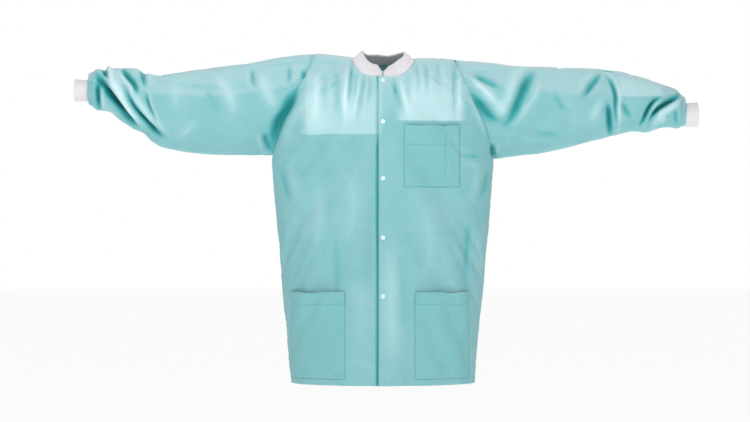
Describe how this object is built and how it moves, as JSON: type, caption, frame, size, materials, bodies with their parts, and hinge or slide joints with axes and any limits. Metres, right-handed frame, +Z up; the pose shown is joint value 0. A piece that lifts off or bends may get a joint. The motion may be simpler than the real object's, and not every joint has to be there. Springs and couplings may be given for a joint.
{
  "type": "lab coat",
  "caption": "Hip-length disposable nonwoven lab coat with knit collar and cuffs, press-snap front, chest pocket and two lower pockets, shaped as worn with arms out.",
  "frame": {"origin": "middle of the neck, level with the collar seam on top of the shoulders", "axes": "+Z up, front of the coat faces -Y, +X towards the wearer's left sleeve"},
  "size_m": [1.432, 0.2925, 0.7614],
  "materials": {
    "teal_nonwoven": "matte spunbond nonwoven",
    "white_knit": "ribbed knit",
    "snap_plastic": "smooth moulded plastic"
  },
  "bodies": {
    "coat_body": {"back_panel": "teal_nonwoven", "front_left_panel": "teal_nonwoven", "front_right_panel": "teal_nonwoven", "collar": "white_knit", "chest_pocket": "teal_nonwoven", "left_lower_pocket": "teal_nonwoven", "right_lower_pocket": "teal_nonwoven", "left_sleeve_head": "teal_nonwoven", "right_sleeve_head": "teal_nonwoven"},
    "left_front": {"front_left_flap": "teal_nonwoven", "left_placket": "teal_nonwoven", "snap_1_cap": "snap_plastic", "snap_1_socket": "snap_plastic", "snap_2_cap": "snap_plastic", "snap_2_socket": "snap_plastic", "snap_3_cap": "snap_plastic", "snap_3_socket": "snap_plastic", "snap_4_cap": "snap_plastic", "snap_4_socket": "snap_plastic", "snap_5_cap": "snap_plastic", "snap_5_socket": "snap_plastic"},
    "right_front": {"front_right_flap": "teal_nonwoven", "right_placket": "teal_nonwoven", "snap_1_stud": "snap_plastic", "snap_1_ring": "snap_plastic", "snap_2_stud": "snap_plastic", "snap_2_ring": "snap_plastic", "snap_3_stud": "snap_plastic", "snap_3_ring": "snap_plastic", "snap_4_stud": "snap_plastic", "snap_4_ring": "snap_plastic", "snap_5_stud": "snap_plastic", "snap_5_ring": "snap_plastic"},
    "left_upper_arm": {"left_upper_sleeve": "teal_nonwoven", "left_elbow_section": "teal_nonwoven"},
    "left_lower_arm": {"left_forearm_sleeve": "teal_nonwoven", "left_cuff": "white_knit"},
    "right_upper_arm": {"right_upper_sleeve": "teal_nonwoven", "right_elbow_section": "teal_nonwoven"},
    "right_lower_arm": {"right_forearm_sleeve": "teal_nonwoven", "right_cuff": "white_knit"}
  },
  "joints": [
    {"name": "front_left_open", "type": "hinge", "parent": "coat_body", "child": "left_front", "pos_m": [0.034, -0.123, -0.034], "axis": [-0.0793, 0.0241, 0.9966], "range_deg": [0, 80], "deforming": ["collar"]},
    {"name": "front_right_open", "type": "hinge", "parent": "coat_body", "child": "right_front", "pos_m": [-0.034, -0.123, -0.034], "axis": [0.0793, 0.0241, 0.9966], "range_deg": [-22.5, 0], "deforming": ["collar"]},
    {"name": "left_shoulder", "type": "hinge", "parent": "coat_body", "child": "left_upper_arm", "pos_m": [0.248, 0, -0.118], "axis": [0, -1, 0], "range_deg": [-45, 40], "deforming": ["left_sleeve_head"]},
    {"name": "left_elbow", "type": "hinge", "parent": "left_upper_arm", "child": "left_lower_arm", "pos_m": [0.5, 0, -0.105], "axis": [0, 0, -1], "range_deg": [0, 90], "deforming": ["left_elbow_section"]},
    {"name": "right_shoulder", "type": "hinge", "parent": "coat_body", "child": "right_upper_arm", "pos_m": [-0.248, 0, -0.118], "axis": [0, 1, 0], "range_deg": [-45, 40], "deforming": ["right_sleeve_head"]},
    {"name": "right_elbow", "type": "hinge", "parent": "right_upper_arm", "child": "right_lower_arm", "pos_m": [-0.5, 0, -0.105], "axis": [0, 0, 1], "range_deg": [0, 90], "deforming": ["right_elbow_section"]}
  ],
  "couplings": [
    {"joint": "front_right_open", "follows": "front_left_open", "ratio": -0.28}
  ]
}
